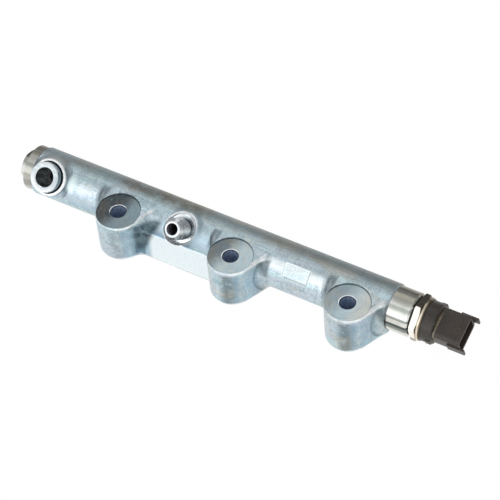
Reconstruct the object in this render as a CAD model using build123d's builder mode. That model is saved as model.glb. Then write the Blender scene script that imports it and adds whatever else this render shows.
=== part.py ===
# Common-rail fuel rail of a diesel engine: a forged steel tube with three
# mounting bosses, an inlet union, a side port for the pressure valve, four
# injector unions on the far side and a pressure sensor screwed into one end.
# Frame: origin on the middle bolt axis at the mounting face, X along the rail
# towards the sensor, -Y the side of the bosses, Z up along the bolts. In mm.
import os
from math import cos, radians, sin, sqrt, tan

from build123d import *

# --- rail tube -----------------------------------------------------------
rail_r = 15.6  # outer radius of the forged tube
rail_y = 18.5  # rail axis behind the bolt axes
rail_z = 17.7  # rail axis above the mounting face
body_left = 151.8  # middle bolt to the left shoulder of the forging
body_right = 103.0  # middle bolt to the right shoulder of the forging
bore_r = 5.0  # pressure bore
left_drop = 0.9  # the turned ends are this much smaller in radius
right_drop = 1.5
left_journal = 5.3
right_journal = 14.3
body_chamfer = 1.6
chamfer_run = 0.6  # the chamfer cut runs on this far past the tube's surface
journal_chamfer = 1.0
sensor_rise = 0.8  # the sensor end is turned this far up and back of the rail axis

# --- mounting bosses -----------------------------------------------------
boss_pitch = 81.0
boss_r = 14.7
boss_height = 31.7
bolt_hole_r = 4.65
bolt_hole_chamfer = 0.6
web_lean_left = 15.0  # each web wall leans out on its way to the tube
web_lean_right = 24.0
foot_length = 10.0  # flat of the foot behind the bolt axis
foot_round = 4.0
crown_round = 1.2
spot_face_r = 14.4

# --- bridge between the first two bosses -----------------------------------
bridge_front = 2.6  # in front of the bolt axes
bridge_foot = 1.0
bridge_crease = 25.6
bridge_slope = 16.0
bridge_round = 1.0

# --- inlet union on the front ----------------------------------------------
inlet_x = -40.0
front_tilt = 45.0  # ports lean up from straight ahead
union_sink = 3.0  # seat of a union's collar below the tube's surface
union_shank_r = 7.0
union_shank = 5.0
union_collar_r = 9.4
union_collar = 1.6
union_collar_chamfer = 0.7
union_groove = 1.1
inlet_thread_r = 7.0
inlet_height = 13.1  # tip of the inlet above the tube's surface
union_tip_chamfer = 1.5
cone_mouth_r = 3.85
cone_depth = 4.6
passage_r = 1.5
pocket_r = 11.2
throttle_r = 2.5
throttle_length = 4.0
throttle_hole_r = 0.9

# --- injector unions on the far side -----------------------------------------
outlet_pitch = 56.0
outlet_first = -108.0
outlet_dip = 32.0  # below straight back
outlet_thread_r = 6.0
outlet_collar_r = 8.2
outlet_pocket_r = 9.6

# --- side port at the left end ---------------------------------------------
port_x = -136.9
stub_r = 12.0
stub_height = 3.1  # rim above the tube's surface
stub_root = 3.2
nose_r = 9.9
nose_height = 8.7
nose_depth = 12.3  # length of the nose
nose_bore_r = 6.3
nose_round = 0.9
nose_break = 0.4
funnel_r = 10.7
funnel_depth = 1.4
port_depth = 5.5  # the port drilling ends this far past the rail axis

# --- marking flat ----------------------------------------------------------
flat_x = 41.5
flat_length = 17.5
flat_width = 9.8

# --- end threads -------------------------------------------------------------
end_thread_r = 9.0
plug_depth = 11.0
plug_flats = 18.0
plug_head = 4.1
plug_seal = 1.2
plug_seal_r = 10.6
plug_turn = 42.0
sensor_depth = 15.0

# --- pressure sensor ---------------------------------------------------------
sensor_gap = 1.4
sensor_gap_r = 12.3
hex_flats = 26.0
hex_height = 4.0
hex_turn = 44.0
hex_angle = 30.0  # of the turned corners
turret_r = 10.0
ring_r = 13.9
ring_height = 2.6
ring_round = 0.8
diaphragm_r = 4.5
diaphragm_thick = 2.0
board_r = 8.2
board_thick = 1.6
board_room = 3.4
collar_r = 12.9
collar_height = 8.1
collar_round = 1.2
lug_width = 5.0
lug_out = 0.4
lug_length = 3.8
lug_past = 1.2  # beyond the collar's end
shroud_width = 20.4
shroud_depth = 14.4
shroud_length = 17.4
shroud_shift = 0.6
shroud_corner = 3.0
shroud_wall = 1.6
shroud_floor = 4.0
shroud_tilt = 71.0  # its wide face looks this far up from straight ahead
rail_width = 6.6  # guide rails along the shroud's narrow sides
rail_out = 1.3
rail_length = 9.0
rail_past = 3.6  # beyond the shroud's mouth
nub_length = 4.2
nub_width = 2.2
nub_height = 0.7
nub_back = 3.9  # from the mouth
pin_width = 1.5
pin_thick = 0.8
pin_length = 10.0
pin_pitch = 4.2

os.makedirs("parts", exist_ok=True)

left_end = -body_left - left_journal
right_end = body_right + right_journal
rail_axis = Axis((0, rail_y, rail_z), (1, 0, 0))
sensor_y = rail_y + sensor_rise / sqrt(2)
sensor_z = rail_z + sensor_rise / sqrt(2)
sensor_axis = Axis((0, sensor_y, sensor_z), (1, 0, 0))
union_floor = rail_r - union_sink
stub_reach = rail_r + stub_height
nose_reach = rail_r + nose_height
nose_seat = nose_reach - nose_depth
boss_xs = (-boss_pitch, 0.0, boss_pitch)
outlet_xs = [outlet_first + i * outlet_pitch for i in range(4)]
outlet_angle = 180 + outlet_dip
outlet_reach = (rail_z - outlet_thread_r * cos(radians(outlet_dip))) / sin(radians(outlet_dip))


def port_plane(x, angle):
    """Plane through a port's axis: local x along the rail, local y outwards."""
    a = radians(angle)
    return Plane(origin=(x, rail_y, rail_z), x_dir=(1, 0, 0), z_dir=(0, -sin(a), -cos(a)))


def port_axis(x, angle):
    a = radians(angle)
    return Axis((x, rail_y, rail_z), (0, -cos(a), sin(a)))


def across(x, angle, reach):
    """Plane square to a port's axis at a distance from the rail axis."""
    a = radians(angle)
    d = Vector(0, -cos(a), sin(a))
    return Plane(origin=Vector(x, rail_y, rail_z) + d * reach, x_dir=(1, 0, 0), z_dir=d)


# --- forged body -------------------------------------------------------------
def web_wall(lean_degrees, side):
    """Ends of a web wall in plan: where it leaves the boss, and below the rail's axis."""
    a = radians(lean_degrees)
    leave = Vector(side * boss_r * cos(a), -boss_r * sin(a))
    return leave, Vector(leave.X + side * (rail_y - leave.Y) * tan(a), rail_y)


# One boss with its web.
left_leave, left_reach = web_wall(web_lean_left, -1)
right_leave, right_reach = web_wall(web_lean_right, 1)
with BuildPart() as web_form:
    with BuildSketch(Plane.XY):
        with BuildLine():
            ThreePointArc(left_leave, (0, -boss_r), right_leave)
            Polyline(right_leave, right_reach, left_reach, left_leave)
        make_face()
    extrude(amount=boss_height)
    fillet(web_form.faces().sort_by(Axis.Z)[-1].edges().sort_by(Axis.Y)[:-1], radius=crown_round)
    fillet(web_form.faces().sort_by(Axis.Z)[0].edges().sort_by(Axis.Y)[:-1], radius=foot_round)
    # the underside of the web runs up into the tube
    with BuildSketch(Plane.YZ):
        with BuildLine():
            Polyline((foot_length, -1), (foot_length, 0), (foot_length + rail_y, rail_y),
                     (foot_length + rail_y, -1), close=True)
        make_face()
    extrude(amount=2 * boss_r, both=True, mode=Mode.SUBTRACT)

# Bridge joining the first two bosses in front of the tube.
with BuildPart() as bridge:
    with BuildSketch(Plane.YZ.offset(-boss_pitch)):
        with BuildLine():
            ridge = rail_y - rail_r / 2
            Polyline((-bridge_front, bridge_foot), (-bridge_front, bridge_crease),
                     (ridge, bridge_crease + (ridge + bridge_front) * tan(radians(bridge_slope))),
                     (rail_y, rail_z), (foot_length + rail_z, rail_z), (foot_length, bridge_foot),
                     close=True)
        make_face()
    extrude(amount=boss_pitch)
    fillet(bridge.edges().filter_by(Axis.X).sort_by(Axis.Y)[:2], radius=bridge_round)

with BuildPart() as rail_body:
    with BuildSketch(Plane.YZ.offset(-body_left - stub_root)):
        with Locations((rail_y, rail_z)):
            Circle(rail_r)
    extrude(amount=body_left + stub_root + body_right)
    for x in boss_xs:
        with Locations((x, 0, 0)):
            add(web_form.part)
    add(bridge.part)
    # raised stub round the side port
    with BuildSketch(across(port_x, front_tilt, 0)):
        Circle(stub_r)
    extrude(amount=stub_reach)
    stub_root_edges = [e for e in rail_body.edges(Select.LAST)
                       if e.geom_type not in (GeomType.LINE, GeomType.CIRCLE)]
    fillet(stub_root_edges, radius=stub_root)
    # the forging ends at its two shoulders, the left one with a turned chamfer
    split(bisect_by=Plane.YZ.offset(body_right), keep=Keep.BOTTOM)
    with BuildSketch(port_plane(-body_left, 90)):
        with BuildLine():
            Polyline((-2 * stub_root, 0), (0, 0), (0, rail_r - body_chamfer),
                     (body_chamfer + chamfer_run, rail_r + chamfer_run),
                     (body_chamfer + chamfer_run, 2 * stub_reach), (-2 * stub_root, 2 * stub_reach),
                     close=True)
        make_face()
    revolve(axis=rail_axis, mode=Mode.SUBTRACT)
    # turned journals
    left_face = Plane(origin=(-body_left, rail_y, rail_z), z_dir=(-1, 0, 0))
    right_face = Plane(origin=(body_right, sensor_y, sensor_z), z_dir=(1, 0, 0))
    for face, drop, length in ((left_face, left_drop, left_journal),
                               (right_face, right_drop, right_journal)):
        with BuildSketch(face):
            Circle(rail_r - drop)
        extrude(amount=length)
        chamfer(rail_body.faces().sort_by(Axis(face.origin, face.z_dir))[-1].edges(),
                length=journal_chamfer)
    # spot faces and bolt holes
    for x in boss_xs:
        with BuildSketch(Plane.XY.offset(boss_height)):
            with Locations((x, 0)):
                Circle(spot_face_r)
        extrude(amount=rail_r, mode=Mode.SUBTRACT)
        with Locations((x, 0, boss_height)):
            CounterSinkHole(radius=bolt_hole_r, counter_sink_radius=bolt_hole_r + bolt_hole_chamfer,
                            counter_sink_angle=90)
    # marking flat on the front of the tube
    flat_reach = sqrt(rail_r**2 - (flat_width / 2) ** 2)
    with BuildSketch(across(flat_x, front_tilt, flat_reach)):
        Rectangle(flat_length, 2 * flat_width)
    extrude(amount=rail_r, mode=Mode.SUBTRACT)
    # pressure bore from end to end, with a thread at each end
    with BuildSketch(Plane.YZ.offset(left_end)):
        with Locations((rail_y, rail_z)):
            Circle(bore_r)
    extrude(amount=right_end - left_end, mode=Mode.SUBTRACT)
    with BuildSketch(Plane.YZ.offset(left_end)):
        with Locations((rail_y, rail_z)):
            Circle(end_thread_r)
    extrude(amount=plug_depth, mode=Mode.SUBTRACT)
    with BuildSketch(Plane.YZ.offset(right_end)):
        with Locations((sensor_y, sensor_z)):
            Circle(end_thread_r)
    extrude(amount=-sensor_depth, mode=Mode.SUBTRACT)
    # side port: seat for the nose, drilling to the bore
    with BuildSketch(across(port_x, front_tilt, nose_seat)):
        Circle(nose_r)
    extrude(amount=stub_reach, mode=Mode.SUBTRACT)
    with BuildSketch(port_plane(port_x, front_tilt)):
        with BuildLine():
            Polyline((0, stub_reach - funnel_depth), (nose_r, stub_reach - funnel_depth),
                     (funnel_r, stub_reach), (0, stub_reach), close=True)
        make_face()
    revolve(axis=port_axis(port_x, front_tilt), mode=Mode.SUBTRACT)
    with BuildSketch(across(port_x, front_tilt, -port_depth)):
        Circle(nose_bore_r)
    extrude(amount=port_depth + nose_seat, mode=Mode.SUBTRACT)
    # seats and drillings of the five unions
    unions = [(inlet_x, front_tilt, pocket_r)] + [(x, outlet_angle, outlet_pocket_r) for x in outlet_xs]
    for x, angle, pocket in unions:
        with BuildSketch(across(x, angle, union_floor)):
            Circle(pocket)
        extrude(amount=rail_r, mode=Mode.SUBTRACT)
        with BuildSketch(across(x, angle, union_floor - union_shank)):
            Circle(union_shank_r if angle == front_tilt else outlet_thread_r)
        extrude(amount=union_shank, mode=Mode.SUBTRACT)
        with BuildSketch(across(x, angle, 0)):
            Circle(passage_r)
        extrude(amount=union_floor, mode=Mode.SUBTRACT)


# --- unions --------------------------------------------------------------------
def union(x, angle, thread_r, collar, reach, shank_r):
    """Turned union with a collar, a thread relief, a thread and a conical mouth."""
    root = union_floor - union_shank
    top = union_floor + union_collar
    with BuildPart() as piece:
        with BuildSketch(port_plane(x, angle)):
            with BuildLine():
                Polyline((passage_r, root + throttle_length), (throttle_r, root + throttle_length),
                         (throttle_r, root), (shank_r, root), (shank_r, union_floor),
                         (collar, union_floor), (collar, top - union_collar_chamfer),
                         (collar - union_collar_chamfer, top), (thread_r - union_groove, top),
                         (thread_r - union_groove, top + union_groove),
                         (thread_r, top + 2 * union_groove), (thread_r, reach - union_tip_chamfer),
                         (thread_r - union_groove, reach), (cone_mouth_r, reach),
                         (passage_r, reach - cone_depth), close=True)
            make_face()
        revolve(axis=port_axis(x, angle))
    return piece.part


def throttle(x, angle):
    """Drilled bush pressed into the shank of a union."""
    with BuildPart() as piece:
        with BuildSketch(across(x, angle, union_floor - union_shank)):
            Circle(throttle_r)
            Circle(throttle_hole_r, mode=Mode.SUBTRACT)
        extrude(amount=throttle_length)
    return piece.part


inlet_union = union(inlet_x, front_tilt, inlet_thread_r, union_collar_r, rail_r + inlet_height,
                    union_shank_r)
inlet_throttle = throttle(inlet_x, front_tilt)
outlet_unions = [union(x, outlet_angle, outlet_thread_r, outlet_collar_r, outlet_reach, outlet_thread_r)
                 for x in outlet_xs]
outlet_throttles = [throttle(x, outlet_angle) for x in outlet_xs]

with BuildPart() as side_port_union:
    with BuildSketch(across(port_x, front_tilt, nose_seat)):
        Circle(nose_r)
        Circle(nose_bore_r, mode=Mode.SUBTRACT)
    extrude(amount=nose_depth)
    outwards = Axis((port_x, rail_y, rail_z), port_axis(port_x, front_tilt).direction)
    rims = side_port_union.faces().sort_by(outwards)[-1].edges().sort_by(SortBy.LENGTH)
    fillet(rims[-1], radius=nose_round)
    chamfer(side_port_union.faces().filter_by(GeomType.PLANE).sort_by(outwards)[-1].edges()
            .sort_by(SortBy.LENGTH)[0], length=nose_break)

# --- closing plug at the left end --------------------------------------------
with BuildPart() as end_plug_seal:
    with BuildSketch(Plane.YZ.offset(left_end)):
        with Locations((rail_y, rail_z)):
            Circle(plug_seal_r)
            Circle(end_thread_r, mode=Mode.SUBTRACT)
    extrude(amount=-plug_seal)


def hex_head(x, length, flats, turn, axis):
    """Hexagon across the given axis with the corners turned down at both ends."""
    corner = flats / sqrt(3)
    slope = (corner - flats / 2) * tan(radians(hex_angle))
    with BuildPart() as piece:
        with BuildSketch(Plane(origin=(x, axis.position.Y, axis.position.Z), z_dir=(1, 0, 0),
                               x_dir=(0, 1, 0))):
            RegularPolygon(radius=flats / 2, side_count=6, major_radius=False, rotation=turn)
        extrude(amount=length)
        with BuildSketch(Plane(origin=(x, axis.position.Y, axis.position.Z), z_dir=(0, -1, 0),
                               x_dir=(1, 0, 0))):
            with BuildLine():
                Polyline((0, 0), (0, flats / 2), (slope, corner), (length - slope, corner),
                         (length, flats / 2), (length, 0), close=True)
            make_face()
        revolve(axis=axis, mode=Mode.INTERSECT)
    return piece.part


with BuildPart() as end_plug:
    with BuildSketch(Plane.YZ.offset(left_end - plug_seal)):
        with Locations((rail_y, rail_z)):
            Circle(end_thread_r)
    extrude(amount=plug_seal + plug_depth)
    chamfer(end_plug.faces().sort_by(Axis.X)[-1].edges(), length=journal_chamfer)
    add(hex_head(left_end - plug_seal - plug_head, plug_head, plug_flats, plug_turn, rail_axis))

# --- pressure sensor -----------------------------------------------------------
seal_x = right_end
hex_x = seal_x + sensor_gap
ring_x = hex_x + hex_height
cap_x = ring_x + ring_height
shroud_x = cap_x + collar_height
mouth_x = shroud_x + shroud_length

with BuildPart() as sensor_seal:
    with BuildSketch(Plane.YZ.offset(seal_x)):
        with Locations((sensor_y, sensor_z)):
            Circle(sensor_gap_r)
            Circle(end_thread_r, mode=Mode.SUBTRACT)
    extrude(amount=sensor_gap)

with BuildPart() as sensor_body:
    with BuildSketch(Plane.YZ.offset(seal_x - sensor_depth)):
        with Locations((sensor_y, sensor_z)):
            Circle(end_thread_r)
    extrude(amount=sensor_depth + sensor_gap)
    chamfer(sensor_body.faces().sort_by(Axis.X)[0].edges(), length=journal_chamfer)
    add(hex_head(hex_x, hex_height, hex_flats, hex_turn, sensor_axis))
    with BuildSketch(Plane.YZ.offset(ring_x)):
        with Locations((sensor_y, sensor_z)):
            Circle(turret_r)
    extrude(amount=ring_height)
    with BuildSketch(Plane.YZ.offset(cap_x)):
        with Locations((sensor_y, sensor_z)):
            Circle(diaphragm_r)
    extrude(amount=-diaphragm_thick, mode=Mode.SUBTRACT)
    with BuildSketch(Plane.YZ.offset(seal_x - sensor_depth)):
        with Locations((sensor_y, sensor_z)):
            Circle(passage_r)
    extrude(amount=cap_x - seal_x + sensor_depth, mode=Mode.SUBTRACT)

with BuildPart() as sensor_diaphragm:
    with BuildSketch(Plane.YZ.offset(cap_x - diaphragm_thick)):
        with Locations((sensor_y, sensor_z)):
            Circle(diaphragm_r)
    extrude(amount=diaphragm_thick)

with BuildPart() as sensor_circuit_board:
    with BuildSketch(Plane.YZ.offset(cap_x)):
        with Locations((sensor_y, sensor_z)):
            Circle(board_r)
    extrude(amount=board_thick)

with BuildPart() as sensor_crimp_ring:
    with BuildSketch(Plane.YZ.offset(ring_x)):
        with Locations((sensor_y, sensor_z)):
            Circle(ring_r)
            Circle(turret_r, mode=Mode.SUBTRACT)
    extrude(amount=ring_height)
    fillet(sensor_crimp_ring.edges().group_by(SortBy.LENGTH)[-1], radius=ring_round)

# The connector's own plane: local x across the shroud, local y towards its wide face.
a = radians(shroud_tilt)
face_dir = Vector(0, -cos(a), sin(a))


def connector_plane(x):
    return Plane(origin=(x, sensor_y, sensor_z), x_dir=face_dir.cross(Vector(1, 0, 0)), z_dir=(1, 0, 0))


pin_xs = [i * pin_pitch for i in (-1, 0, 1)]
pin_start = cap_x + board_thick
with BuildPart() as sensor_connector:
    # round collar with a lug on either side
    with BuildSketch(connector_plane(cap_x)):
        Circle(collar_r)
    extrude(amount=collar_height)
    fillet(sensor_connector.faces().sort_by(Axis.X)[-1].edges(), radius=collar_round)
    with BuildSketch(connector_plane(shroud_x + lug_past)):
        Rectangle(2 * (collar_r + lug_out), lug_width)
    extrude(amount=-lug_length)
    # shroud with two guide rails and a latch nub
    with BuildSketch(connector_plane(shroud_x)):
        with Locations((0, shroud_shift)):
            RectangleRounded(shroud_width, shroud_depth, shroud_corner)
    extrude(amount=shroud_length)
    with BuildSketch(connector_plane(mouth_x + rail_past)):
        with Locations((0, shroud_shift)):
            Rectangle(shroud_width + 2 * rail_out, rail_width)
    extrude(amount=-rail_length)
    with BuildSketch(connector_plane(mouth_x)):
        with Locations((0, shroud_shift)):
            Rectangle(shroud_width - 2 * shroud_wall, rail_width)
    extrude(amount=rail_past, mode=Mode.SUBTRACT)
    with BuildSketch(connector_plane(mouth_x - nub_back)):
        with Locations((0, shroud_shift + shroud_depth / 2)):
            Rectangle(nub_width, 2 * nub_height)
    extrude(amount=nub_length / 2, both=True)
    # hollow of the shroud, room for the board, slots for the terminals
    with BuildSketch(connector_plane(shroud_x + shroud_floor)):
        with Locations((0, shroud_shift)):
            RectangleRounded(shroud_width - 2 * shroud_wall, shroud_depth - 2 * shroud_wall,
                             shroud_corner - shroud_wall)
    extrude(amount=shroud_length - shroud_floor, mode=Mode.SUBTRACT)
    with BuildSketch(connector_plane(cap_x)):
        Circle(board_r)
    extrude(amount=board_room, mode=Mode.SUBTRACT)
    with BuildSketch(connector_plane(pin_start)):
        with Locations(*[(x, 0) for x in pin_xs]):
            Rectangle(pin_width, pin_thick)
    extrude(amount=shroud_x + shroud_floor - pin_start, mode=Mode.SUBTRACT)

terminals = []
for x in pin_xs:
    with BuildPart() as terminal:
        with BuildSketch(connector_plane(pin_start)):
            with Locations((x, 0)):
                Rectangle(pin_width, pin_thick)
        extrude(amount=shroud_x + shroud_floor + pin_length - pin_start)
    terminals.append(terminal.part)

pieces = {
    "rail_body": rail_body.part,
    "inlet_union": inlet_union,
    "inlet_throttle": inlet_throttle,
    "side_port_union": side_port_union.part,
    "end_plug": end_plug.part,
    "end_plug_seal": end_plug_seal.part,
    "sensor_seal": sensor_seal.part,
    "sensor_body": sensor_body.part,
    "sensor_diaphragm": sensor_diaphragm.part,
    "sensor_circuit_board": sensor_circuit_board.part,
    "sensor_crimp_ring": sensor_crimp_ring.part,
    "sensor_connector": sensor_connector.part,
}
for i in range(4):
    pieces[f"outlet_union_{i + 1}"] = outlet_unions[i]
    pieces[f"outlet_throttle_{i + 1}"] = outlet_throttles[i]
for i, terminal in enumerate(terminals):
    pieces[f"sensor_terminal_{i + 1}"] = terminal
for name, piece in pieces.items():
    piece.label = name
    export_step(piece, f"parts/{name}.step")
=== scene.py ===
"""Looks of a common-rail fuel rail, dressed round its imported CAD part.

Sizes are in millimetres and turned into metres where a mesh is written.
Frame: X along the rail to the sensor, -Y the side of the bosses, Z up the bolts.
"""
from math import atan2, cos, pi, radians, sin, sqrt, tan
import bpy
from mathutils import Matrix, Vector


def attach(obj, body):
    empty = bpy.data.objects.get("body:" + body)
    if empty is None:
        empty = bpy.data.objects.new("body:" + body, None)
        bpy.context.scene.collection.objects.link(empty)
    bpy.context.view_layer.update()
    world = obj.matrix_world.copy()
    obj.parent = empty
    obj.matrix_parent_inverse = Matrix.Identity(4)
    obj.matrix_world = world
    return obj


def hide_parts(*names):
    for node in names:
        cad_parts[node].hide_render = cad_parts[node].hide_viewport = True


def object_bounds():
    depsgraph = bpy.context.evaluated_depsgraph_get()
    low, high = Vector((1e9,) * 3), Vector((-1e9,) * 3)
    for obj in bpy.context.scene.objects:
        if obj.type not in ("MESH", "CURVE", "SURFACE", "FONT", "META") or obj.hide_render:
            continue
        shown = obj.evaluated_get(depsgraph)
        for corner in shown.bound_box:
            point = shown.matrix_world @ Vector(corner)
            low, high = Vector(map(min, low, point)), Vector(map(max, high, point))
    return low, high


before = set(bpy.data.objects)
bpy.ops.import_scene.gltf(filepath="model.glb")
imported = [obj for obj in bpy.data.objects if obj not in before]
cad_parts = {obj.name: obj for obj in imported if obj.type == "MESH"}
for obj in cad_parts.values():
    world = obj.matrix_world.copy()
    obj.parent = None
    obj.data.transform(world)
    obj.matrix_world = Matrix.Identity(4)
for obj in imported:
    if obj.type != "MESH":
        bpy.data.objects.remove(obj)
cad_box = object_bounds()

from types import SimpleNamespace

import bmesh
import bpy
import numpy as np
from mathutils import Matrix

MM = 0.001
SHARP = radians(32)  # edges that fold by more stay sharp
ARC_STEPS = 6  # in each rounded corner of a profile

# --- sizes, as in the part's source -------------------------------------------
RAIL_R, RAIL_Y, RAIL_Z = 15.6, 18.5, 17.7  # the forged tube and where its axis runs
LEFT, RIGHT = -151.8, 103.0  # ends of the forged tube
LEFT_END, RIGHT_END = -157.1, 117.3  # ends of the turned journals
LEFT_R, RIGHT_R = 14.7, 14.1
BORE_R = 5.0
BOSS_PITCH, BOSS_R, BOSS_H = 81.0, 14.7, 31.7
BOSSES = (-BOSS_PITCH, 0.0, BOSS_PITCH)
HOLE_R, SPOT_R = 4.65, 14.4
LEAN_LEFT, LEAN_RIGHT = radians(15), radians(24)  # how a web's two walls lean out
FOOT = 10.0  # where the 45 degree underside of the webs starts
BRIDGE_Y, BRIDGE_H = -2.6, 25.6  # face of the bridge and its height there
FLAT_X, FLAT_LENGTH, FLAT_WIDTH = 41.5, 17.5, 9.8
FLAT_OUT = sqrt(RAIL_R ** 2 - (FLAT_WIDTH / 2) ** 2)  # of the flat, from the rail's axis
INLET_X, PORT_X = -40.0, -136.9
TILT = radians(45)  # of the inlet and the side port, up from straight ahead
INLET_R, OUTLET_R = 7.0, 6.0  # threads of the unions
SEAT_R, OUTLET_SEAT_R = 9.9, 9.6  # pockets that the unions stand in
FLOOR_R = 12.6  # floor of those pockets, from the rail's axis
INLET_REACH = 28.7
OUTLET_XS = [-108.0 + 56.0 * i for i in range(4)]
OUTLET_DIP = radians(32)  # below straight back
OUTLET_TURN = pi + OUTLET_DIP
OUTLET_REACH = (RAIL_Z - OUTLET_R * cos(OUTLET_DIP)) / sin(OUTLET_DIP)  # down to the feet
STUB_R, STUB_REACH = 12.0, 18.7
NOSE_R, NOSE_BORE, NOSE_REACH, NOSE_SEAT = 9.9, 6.3, 24.3, 12.0
PLUG_SEAL, PLUG_HEIGHT, PLUG_FLATS = 1.2, 4.1, 18.0
SENSOR_RISE = 0.8  # of the sensor's axis, up and back from the rail's
SENSOR_AT = (0, RAIL_Y + SENSOR_RISE / sqrt(2), RAIL_Z + SENSOR_RISE / sqrt(2))
HEX_X, HEX_HEIGHT, HEX_FLATS = RIGHT_END + 1.4, 4.0, 26.0
RING_X = HEX_X + HEX_HEIGHT
COLLAR_X = RING_X + 2.6
SHROUD_X = COLLAR_X + 8.1
MOUTH_X = SHROUD_X + 17.4


# --- shading ----------------------------------------------------------------------
class Value:
    """A socket that can be calculated with: each sign adds one Math node."""

    def __init__(self, nodes, socket):
        self.nodes, self.socket = nodes, socket

    def math(self, operation, *others):
        """One Math node on this value and the others."""
        return self.nodes.add("Math", dict(enumerate((self, *others))), operation=operation)

    def __add__(self, other):
        return self.math("ADD", other)

    __radd__ = __add__

    def __mul__(self, other):
        return self.math("MULTIPLY", other)

    __rmul__ = __mul__

    def __sub__(self, other):
        return self.math("SUBTRACT", other)

    def __rsub__(self, other):
        return self.nodes.add("Math", {0: other, 1: self}, operation="SUBTRACT")

    def __truediv__(self, other):
        return self.math("DIVIDE", other)

    def __abs__(self):
        return self.math("ABSOLUTE")

    def maximum(self, other):
        """The greater of two values."""
        return self.math("MAXIMUM", other)

    def band(self, low, high, start=0.0, end=1.0):
        """start below low, end above high, and a smooth step between them."""
        return self.nodes.add("MapRange", {"Value": self, "From Min": low, "From Max": high,
                                           "To Min": start, "To Max": end},
                              interpolation_type="SMOOTHSTEP")

    def window(self, outer_low, low, high, outer_high):
        """One from low to high, nothing beyond the outer two, smooth steps between."""
        return self.band(outer_low, low) * self.band(outer_high, high)


class Nodes:
    """The nodes of one material or world, each added in a single call."""

    def __init__(self, tree):
        self.tree = tree
        tree.nodes.clear()

    def add(self, kind, inputs=None, out=0, **settings):
        """Adds a node, sets it up, and then fills its sockets with values or links."""
        node = self.tree.nodes.new("ShaderNode" + kind)
        for key, value in settings.items():
            setattr(node, key, value)
        for key, value in (inputs or {}).items():
            if isinstance(value, Value):
                self.tree.links.new(value.socket, node.inputs[key])
            else:
                node.inputs[key].default_value = value
        return Value(self, node.outputs[out]) if node.outputs else None

    def mix(self, amount, first, second):
        """Two colours mixed by an amount."""
        return self.add("Mix", {"Factor": amount, 6: first, 7: second}, out=2, data_type="RGBA")

    def layered(self, colour, layers):
        """A colour with others laid over it in turn, each a pair of amount and colour."""
        for amount, over in layers:
            colour = self.mix(amount, colour, over)
        return colour

    def noise(self, at, scale, detail=3.0, rough=0.5, warp=0.0):
        """Noise about one half."""
        return self.add("TexNoise", {"Vector": at, "Scale": scale, "Detail": detail,
                                     "Roughness": rough, "Distortion": warp})

    def stretched(self, at, scales, turn=(0.0, 0.0, 0.0)):
        """A vector scaled along each axis and then turned."""
        return self.add("Mapping", {"Vector": at, "Scale": scales, "Rotation": turn})

    def bumped(self, height, distance, strength=1.0, under=None):
        """Normal of a height, on top of the normal under it."""
        inputs = {"Height": height, "Distance": distance, "Strength": strength}
        if under is not None:
            inputs["Normal"] = under
        return self.add("Bump", inputs)

    def attribute(self, name):
        """A number that was written on the points of the mesh."""
        return self.add("Attribute", out="Fac", attribute_name=name)

    def place_mm(self):
        """The Object coordinate in millimetres."""
        return self.add("VectorMath", {0: self.add("TexCoord", out=3), 1: (1000, 1000, 1000)},
                        operation="MULTIPLY")

    def axes(self, vector):
        """The three numbers of a vector."""
        split = self.add("SeparateXYZ", {0: vector})
        return [Value(self, output) for output in split.socket.node.outputs]


def tone(red, green, blue):
    """Linear colour of a shade given as it is seen, each part 0 to 255."""
    part = np.array((red, green, blue)) / 255
    part = np.where(part <= 0.04045, part / 12.92, ((part + 0.055) / 1.055) ** 2.4)
    return (*part.tolist(), 1.0)


WHITE = tone(255, 255, 255)


def new_material(name, build, metallic=0.0):
    """Principled material whose varying inputs are build(nodes, place in millimetres)."""
    material = bpy.data.materials.new(name)
    material.use_nodes = True
    nodes = Nodes(material.node_tree)
    shader = nodes.add("BsdfPrincipled", {"Metallic": metallic, **build(nodes, nodes.place_mm())})
    nodes.add("OutputMaterial", {"Surface": shader})
    return material


def from_nearest_boss(x):
    """Distance along the rail from the nearest boss: x less a whole number of pitches."""
    return ((x / BOSS_PITCH + 0.5).math("FRACT") - 0.5) * BOSS_PITCH


def length(first, second):
    """Length of two parts at right angles."""
    return (first * first + second * second).math("SQRT")


# --- the zinc of the forging --------------------------------------------------------
def survey(nodes, at):
    """Where a shaded point of the forging lies and the noises that its layers share. out and
    up run along and across the ports, over goes up and back across the tube."""
    x, y, z = nodes.axes(at)
    out = (z - RAIL_Z) * sin(TILT) - (y - RAIL_Y) * cos(TILT)
    up = (z - RAIL_Z) * cos(TILT) + (y - RAIL_Y) * sin(TILT)
    over = (y - RAIL_Y) * 0.57 + (z - RAIL_Z) * 0.82
    long = nodes.stretched(at, (0.03, 0.08, 0.08))
    return SimpleNamespace(
        x=x, y=y, z=z, out=out, up=up, over=over, local=from_nearest_boss(x),
        from_port=length(x - PORT_X, up), from_inlet=length(x - INLET_X, up),
        # painted shade over the top and back of the tube, which also raises its roughness
        dull_and_shaded=over.band(9.0, 15.2, 0, 0.58) + (y - RAIL_Y).band(6.0, 14.0, 0, 0.25),
        by_first_boss=x.band(-45, -55), over_bridge=x.window(-66, -60, -16, -10) * z.band(19, 22),
        crest=nodes.attribute("crest"), pocket=nodes.attribute("pocket"), lee=nodes.attribute("lee"),
        grain=nodes.noise(at, 1.5, 4.0, 0.6),
        blotch=nodes.noise(at, 0.2, 4.0, 0.6, 0.5),
        cool=nodes.noise(long, 1.0, 4.0, 0.6, 0.8),
        warm=nodes.noise(nodes.stretched(long, (1.3, 1.3, 1.3), (0.5, 0.2, 0.9)), 1.0, 4.0, 0.6, 0.6),
        streak=nodes.noise(nodes.stretched(at, (0.06, 0.9, 0.9), (0, 0, 0.12)), 1.0, 4.0, 0.65),
        strokes=nodes.noise(nodes.stretched(at, (0.9, 0.09, 0.09), (0.3, 0.2, -0.5)), 1.0, 4.0, 0.7))


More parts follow.
